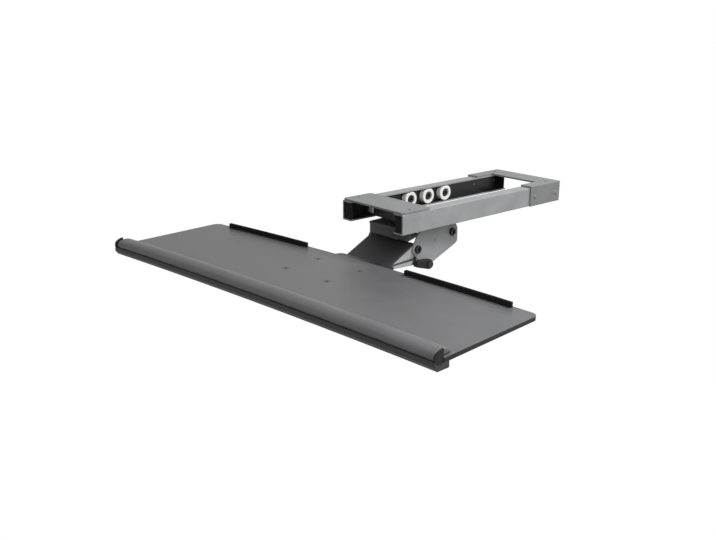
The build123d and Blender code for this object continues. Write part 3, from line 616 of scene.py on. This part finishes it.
class TRAY_OT_fasteners(bpy.types.Operator):
    """Cut the driver sockets of the pins, the roller bolts and the tray screws"""

    bl_idname = "tray.fasteners"
    bl_label = "Fasteners"

    def execute(self, context):
        sizes = context.scene.fastener_sizes
        oxide = coat_material(
            "socket_oxide", SOCKET_BLACK, 0.36, grain=0.0005, edge=0.0003, metallic=0.7, bump=0.05
        )
        across = swivel_matrix().to_3x3() @ X_AXIS

        for node, body in (("lift_pin", "swivel"), ("tilt_pin", "head")):
            pin = copy_of_node(node, node + "_socketed")
            low, high = island_boxes(pin)[0]
            middle = (low + high) / 2
            reach = max((v.co - middle).dot(across) for v in pin.data.vertices)
            ends = [middle + across * reach, middle - across * reach]
            cut_sockets(pin, ends, across, sizes.pin_socket, sizes.pin_socket_depth)
            self.finish(pin, node, body, oxide)

        bolts = copy_of_node("roller_bolts", "roller_bolts_socketed")
        heads = []
        for low, high in island_boxes(bolts):
            middle = (low + high) / 2
            inner = low.x if middle.x > 0 else high.x
            heads.append(Vector((inner, middle.y, middle.z)))
        cut_sockets(bolts, heads, X_AXIS, sizes.bolt_socket, sizes.bolt_socket_depth)
        self.finish(bolts, "roller_bolts", "carriage", oxide)

        sunk = coat_material("screw_coat", SCREW_GREY, 0.5, grain=0.0005, edge=0.0003, bump=0.05)
        screws = copy_of_node("tray_screws", "tray_screws_socketed")
        tops = []
        for low, high in island_boxes(screws):
            middle = (low + high) / 2
            tops.append(Vector((middle.x, middle.y, high.z)))
        cut_sockets(screws, tops, Z_AXIS, sizes.screw_socket, sizes.screw_socket_depth)
        self.finish(screws, "tray_screws", "platform", sunk)
        return {"FINISHED"}

    def finish(self, piece, node, body, material):
        """Shades a socketed copy and puts it in the place of its CAD node."""
        select_only(piece)
        bpy.ops.object.shade_smooth_by_angle(angle=CREASE_ANGLE)
        piece.data.materials.append(material)
        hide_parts(node)
        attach(piece, body)


class TRAY_OT_palm_rest(bpy.types.Operator):
    """Model the padded palm rest over its plain solid"""

    bl_idname = "tray.palm_rest"
    bl_label = "Palm rest"

    def execute(self, context):
        sizes = context.scene.palm_rest_sizes
        pad = copy_of_node("palm_rest", "palm_rest_pad")
        pad.data.remesh_voxel_size = sizes.voxel
        bpy.ops.object.voxel_remesh()
        to_swivel = swivel_matrix().inverted()

        pad.data.update()
        start = [v.co - v.normal * sizes.shrink for v in pad.data.vertices]
        for vertex, place in zip(pad.data.vertices, start):
            vertex.co = place
        self.inflate(context, pad, start, to_swivel)
        self.sew_ends(pad, sizes, to_swivel)

        smooth = pad.modifiers.new("Smooth", "SMOOTH")
        smooth.factor = 0.5
        smooth.iterations = 3
        finer = pad.modifiers.new("Finer", "SUBSURF")
        finer.levels = finer.render_levels = 1
        select_only(pad)
        bpy.ops.object.modifier_apply(modifier=smooth.name)
        bpy.ops.object.modifier_apply(modifier=finer.name)
        bpy.ops.object.shade_smooth()
        pad.data.materials.append(cover_material("leathercloth", context.scene.tray_finishes.rest_grey))
        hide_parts("palm_rest")
        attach(pad, "platform")
        return {"FINISHED"}

    def inflate(self, context, pad, start, to_swivel):
        """Fills the cover with pressure, held below and at its ends, and limits each point's move."""
        sizes = context.scene.palm_rest_sizes
        held = pad.vertex_groups.new(name="held")
        for vertex in pad.data.vertices:
            local = to_swivel @ vertex.co
            facing = to_swivel.to_3x3() @ vertex.normal
            resting = local.z < HELD_HEIGHT and facing.z < HELD_FACING
            if resting or facing.z < UNDERSIDE_FACING or abs(facing.x) > END_FACING:
                held.add([vertex.index], 1.0, "REPLACE")
        cloth = pad.modifiers.new("Cloth", "CLOTH")
        cloth.settings.use_pressure = True
        cloth.settings.uniform_pressure_force = sizes.pressure
        cloth.settings.effector_weights.gravity = 0
        cloth.settings.vertex_group_mass = "held"
        cloth.settings.quality = 4
        for step in range(CLOTH_STEPS):
            context.scene.frame_set(1 + step)
        select_only(pad)
        bpy.ops.object.modifier_apply(modifier=cloth.name)
        context.scene.frame_set(1)
        pad.vertex_groups.clear()
        for vertex, place in zip(pad.data.vertices, start):
            move = vertex.co - place
            if move.length > sizes.swell:
                vertex.co = place + move.normalized() * sizes.swell

    def sew_ends(self, pad, sizes, to_swivel):
        """Presses a sewn seam into the cover near each end."""
        half = max((to_swivel @ v.co).x for v in pad.data.vertices)
        for vertex in pad.data.vertices:
            local = to_swivel @ vertex.co
            for seam in (-half + sizes.end_seam, half - sizes.end_seam):
                near = abs(local.x - seam) / sizes.seam_width
                if near < 1 and local.z > HELD_HEIGHT:
                    vertex.co = vertex.co - vertex.normal * sizes.seam_depth * (1 - near)


class TRAY_OT_studio(bpy.types.Operator):
    """Set the floor, the lamps and the camera"""

    bl_idname = "tray.studio"
    bl_label = "Studio"

    def execute(self, context):
        sizes = context.scene.studio_sizes
        deselect_all()
        bpy.ops.mesh.primitive_plane_add(size=FLOOR_SIZE, location=(0, 0, -sizes.floor_drop))
        floor = context.object
        floor.name = "studio_floor"
        white = bpy.data.materials.new("studio_white")
        white.use_nodes = True
        nodes, links = white.node_tree.nodes, white.node_tree.links
        shader = nodes["Principled BSDF"]
        set_inputs(shader, Base_Color=(0.9, 0.9, 0.9, 1), Roughness=0.9)
        glow = nodes.new("ShaderNodeEmission")
        set_inputs(glow, Strength=FLOOR_GLOW)
        blend = nodes.new("ShaderNodeMixShader")
        links.new(self.seen_rays(white.node_tree, FLOOR_GLOW_SHARE), blend.inputs["Fac"])
        links.new(shader.outputs["BSDF"], blend.inputs[1])
        links.new(glow.outputs["Emission"], blend.inputs[2])
        links.new(blend.outputs["Shader"], nodes["Material Output"].inputs["Surface"])
        floor.data.materials.append(white)

        world = bpy.data.worlds.new("studio")
        context.scene.world = world
        world.use_nodes = True
        tree = world.node_tree
        soft = tree.nodes["Background"]
        set_inputs(soft, Color=WHITE, Strength=WORLD_LIGHT)
        seen = tree.nodes.new("ShaderNodeBackground")
        set_inputs(seen, Color=WHITE, Strength=1.0)
        mix = tree.nodes.new("ShaderNodeMixShader")
        tree.links.new(self.seen_rays(tree, 1.0), mix.inputs["Fac"])
        tree.links.new(soft.outputs["Background"], mix.inputs[1])
        tree.links.new(seen.outputs["Background"], mix.inputs[2])
        tree.links.new(mix.outputs["Shader"], tree.nodes["World Output"].inputs["Surface"])

        for name, place, size, power in LAMPS:
            lamp = bpy.data.lights.new(name, "AREA")
            lamp.size = size
            lamp.energy = power
            body = bpy.data.objects.new(name, lamp)
            body.location = place
            aim = LAMP_TARGET - Vector(place)
            body.rotation_euler = aim.to_track_quat("-Z", "Y").to_euler()
            context.scene.collection.objects.link(body)

        camera = bpy.data.cameras.new("camera")
        camera.sensor_width = 36
        camera.lens = sizes.lens
        eye = bpy.data.objects.new("camera", camera)
        eye.location = sizes.camera_place
        eye.rotation_euler = (math.pi / 2 - sizes.camera_dip, 0, sizes.camera_turn)
        context.scene.collection.objects.link(eye)
        context.scene.camera = eye
        context.scene.view_settings.view_transform = "Standard"
        return {"FINISHED"}

    def seen_rays(self, tree, share):
        """That share for camera, glossy and transmission rays, which see the white background."""
        rays = tree.nodes.new("ShaderNodeLightPath")
        either = rays.outputs["Is Camera Ray"]
        for kind in ("Is Glossy Ray", "Is Transmission Ray"):
            most = tree.nodes.new("ShaderNodeMath")
            most.operation = "MAXIMUM"
            tree.links.new(either, most.inputs[0])
            tree.links.new(rays.outputs[kind], most.inputs[1])
            either = most.outputs["Value"]
        scaled = tree.nodes.new("ShaderNodeMath")
        scaled.operation = "MULTIPLY"
        scaled.inputs[1].default_value = share
        tree.links.new(either, scaled.inputs[0])
        return scaled.outputs["Value"]


class TRAY_PT_panel(bpy.types.Panel):
    """Lists the tray's operators in the sidebar"""

    bl_label = "Keyboard Tray"
    bl_idname = "TRAY_PT_panel"
    bl_space_type = "VIEW_3D"
    bl_region_type = "UI"
    bl_category = "Keyboard Tray"

    def draw(self, context):
        for operator in OPERATORS:
            self.layout.operator(operator.bl_idname)
        for place in PROPERTY_PLACES:
            group = getattr(context.scene, place)
            for key in group.__annotations__:
                self.layout.prop(group, key)


OPERATORS = (
    TRAY_OT_track,
    TRAY_OT_carriage,
    TRAY_OT_arm,
    TRAY_OT_platform,
    TRAY_OT_fasteners,
    TRAY_OT_palm_rest,
    TRAY_OT_studio,
)
PROPERTY_PLACES = {
    "tray_finishes": TrayFinishes,
    "palm_rest_sizes": PalmRestSizes,
    "fastener_sizes": FastenerSizes,
    "studio_sizes": StudioSizes,
}
CLASSES = tuple(PROPERTY_PLACES.values()) + OPERATORS + (TRAY_PT_panel,)


def register():
    for cls in CLASSES:
        bpy.utils.register_class(cls)
    for place, group in PROPERTY_PLACES.items():
        setattr(bpy.types.Scene, place, bpy.props.PointerProperty(type=group))


def unregister():
    for place in reversed(PROPERTY_PLACES):
        delattr(bpy.types.Scene, place)
    for cls in reversed(CLASSES):
        bpy.utils.unregister_class(cls)


def main():
    """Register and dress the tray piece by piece."""
    register()
    bpy.ops.tray.track()
    bpy.ops.tray.carriage()
    bpy.ops.tray.arm()
    bpy.ops.tray.platform()
    bpy.ops.tray.fasteners()
    bpy.ops.tray.palm_rest()
    bpy.ops.tray.studio()


if __name__ == "__main__":
    main()
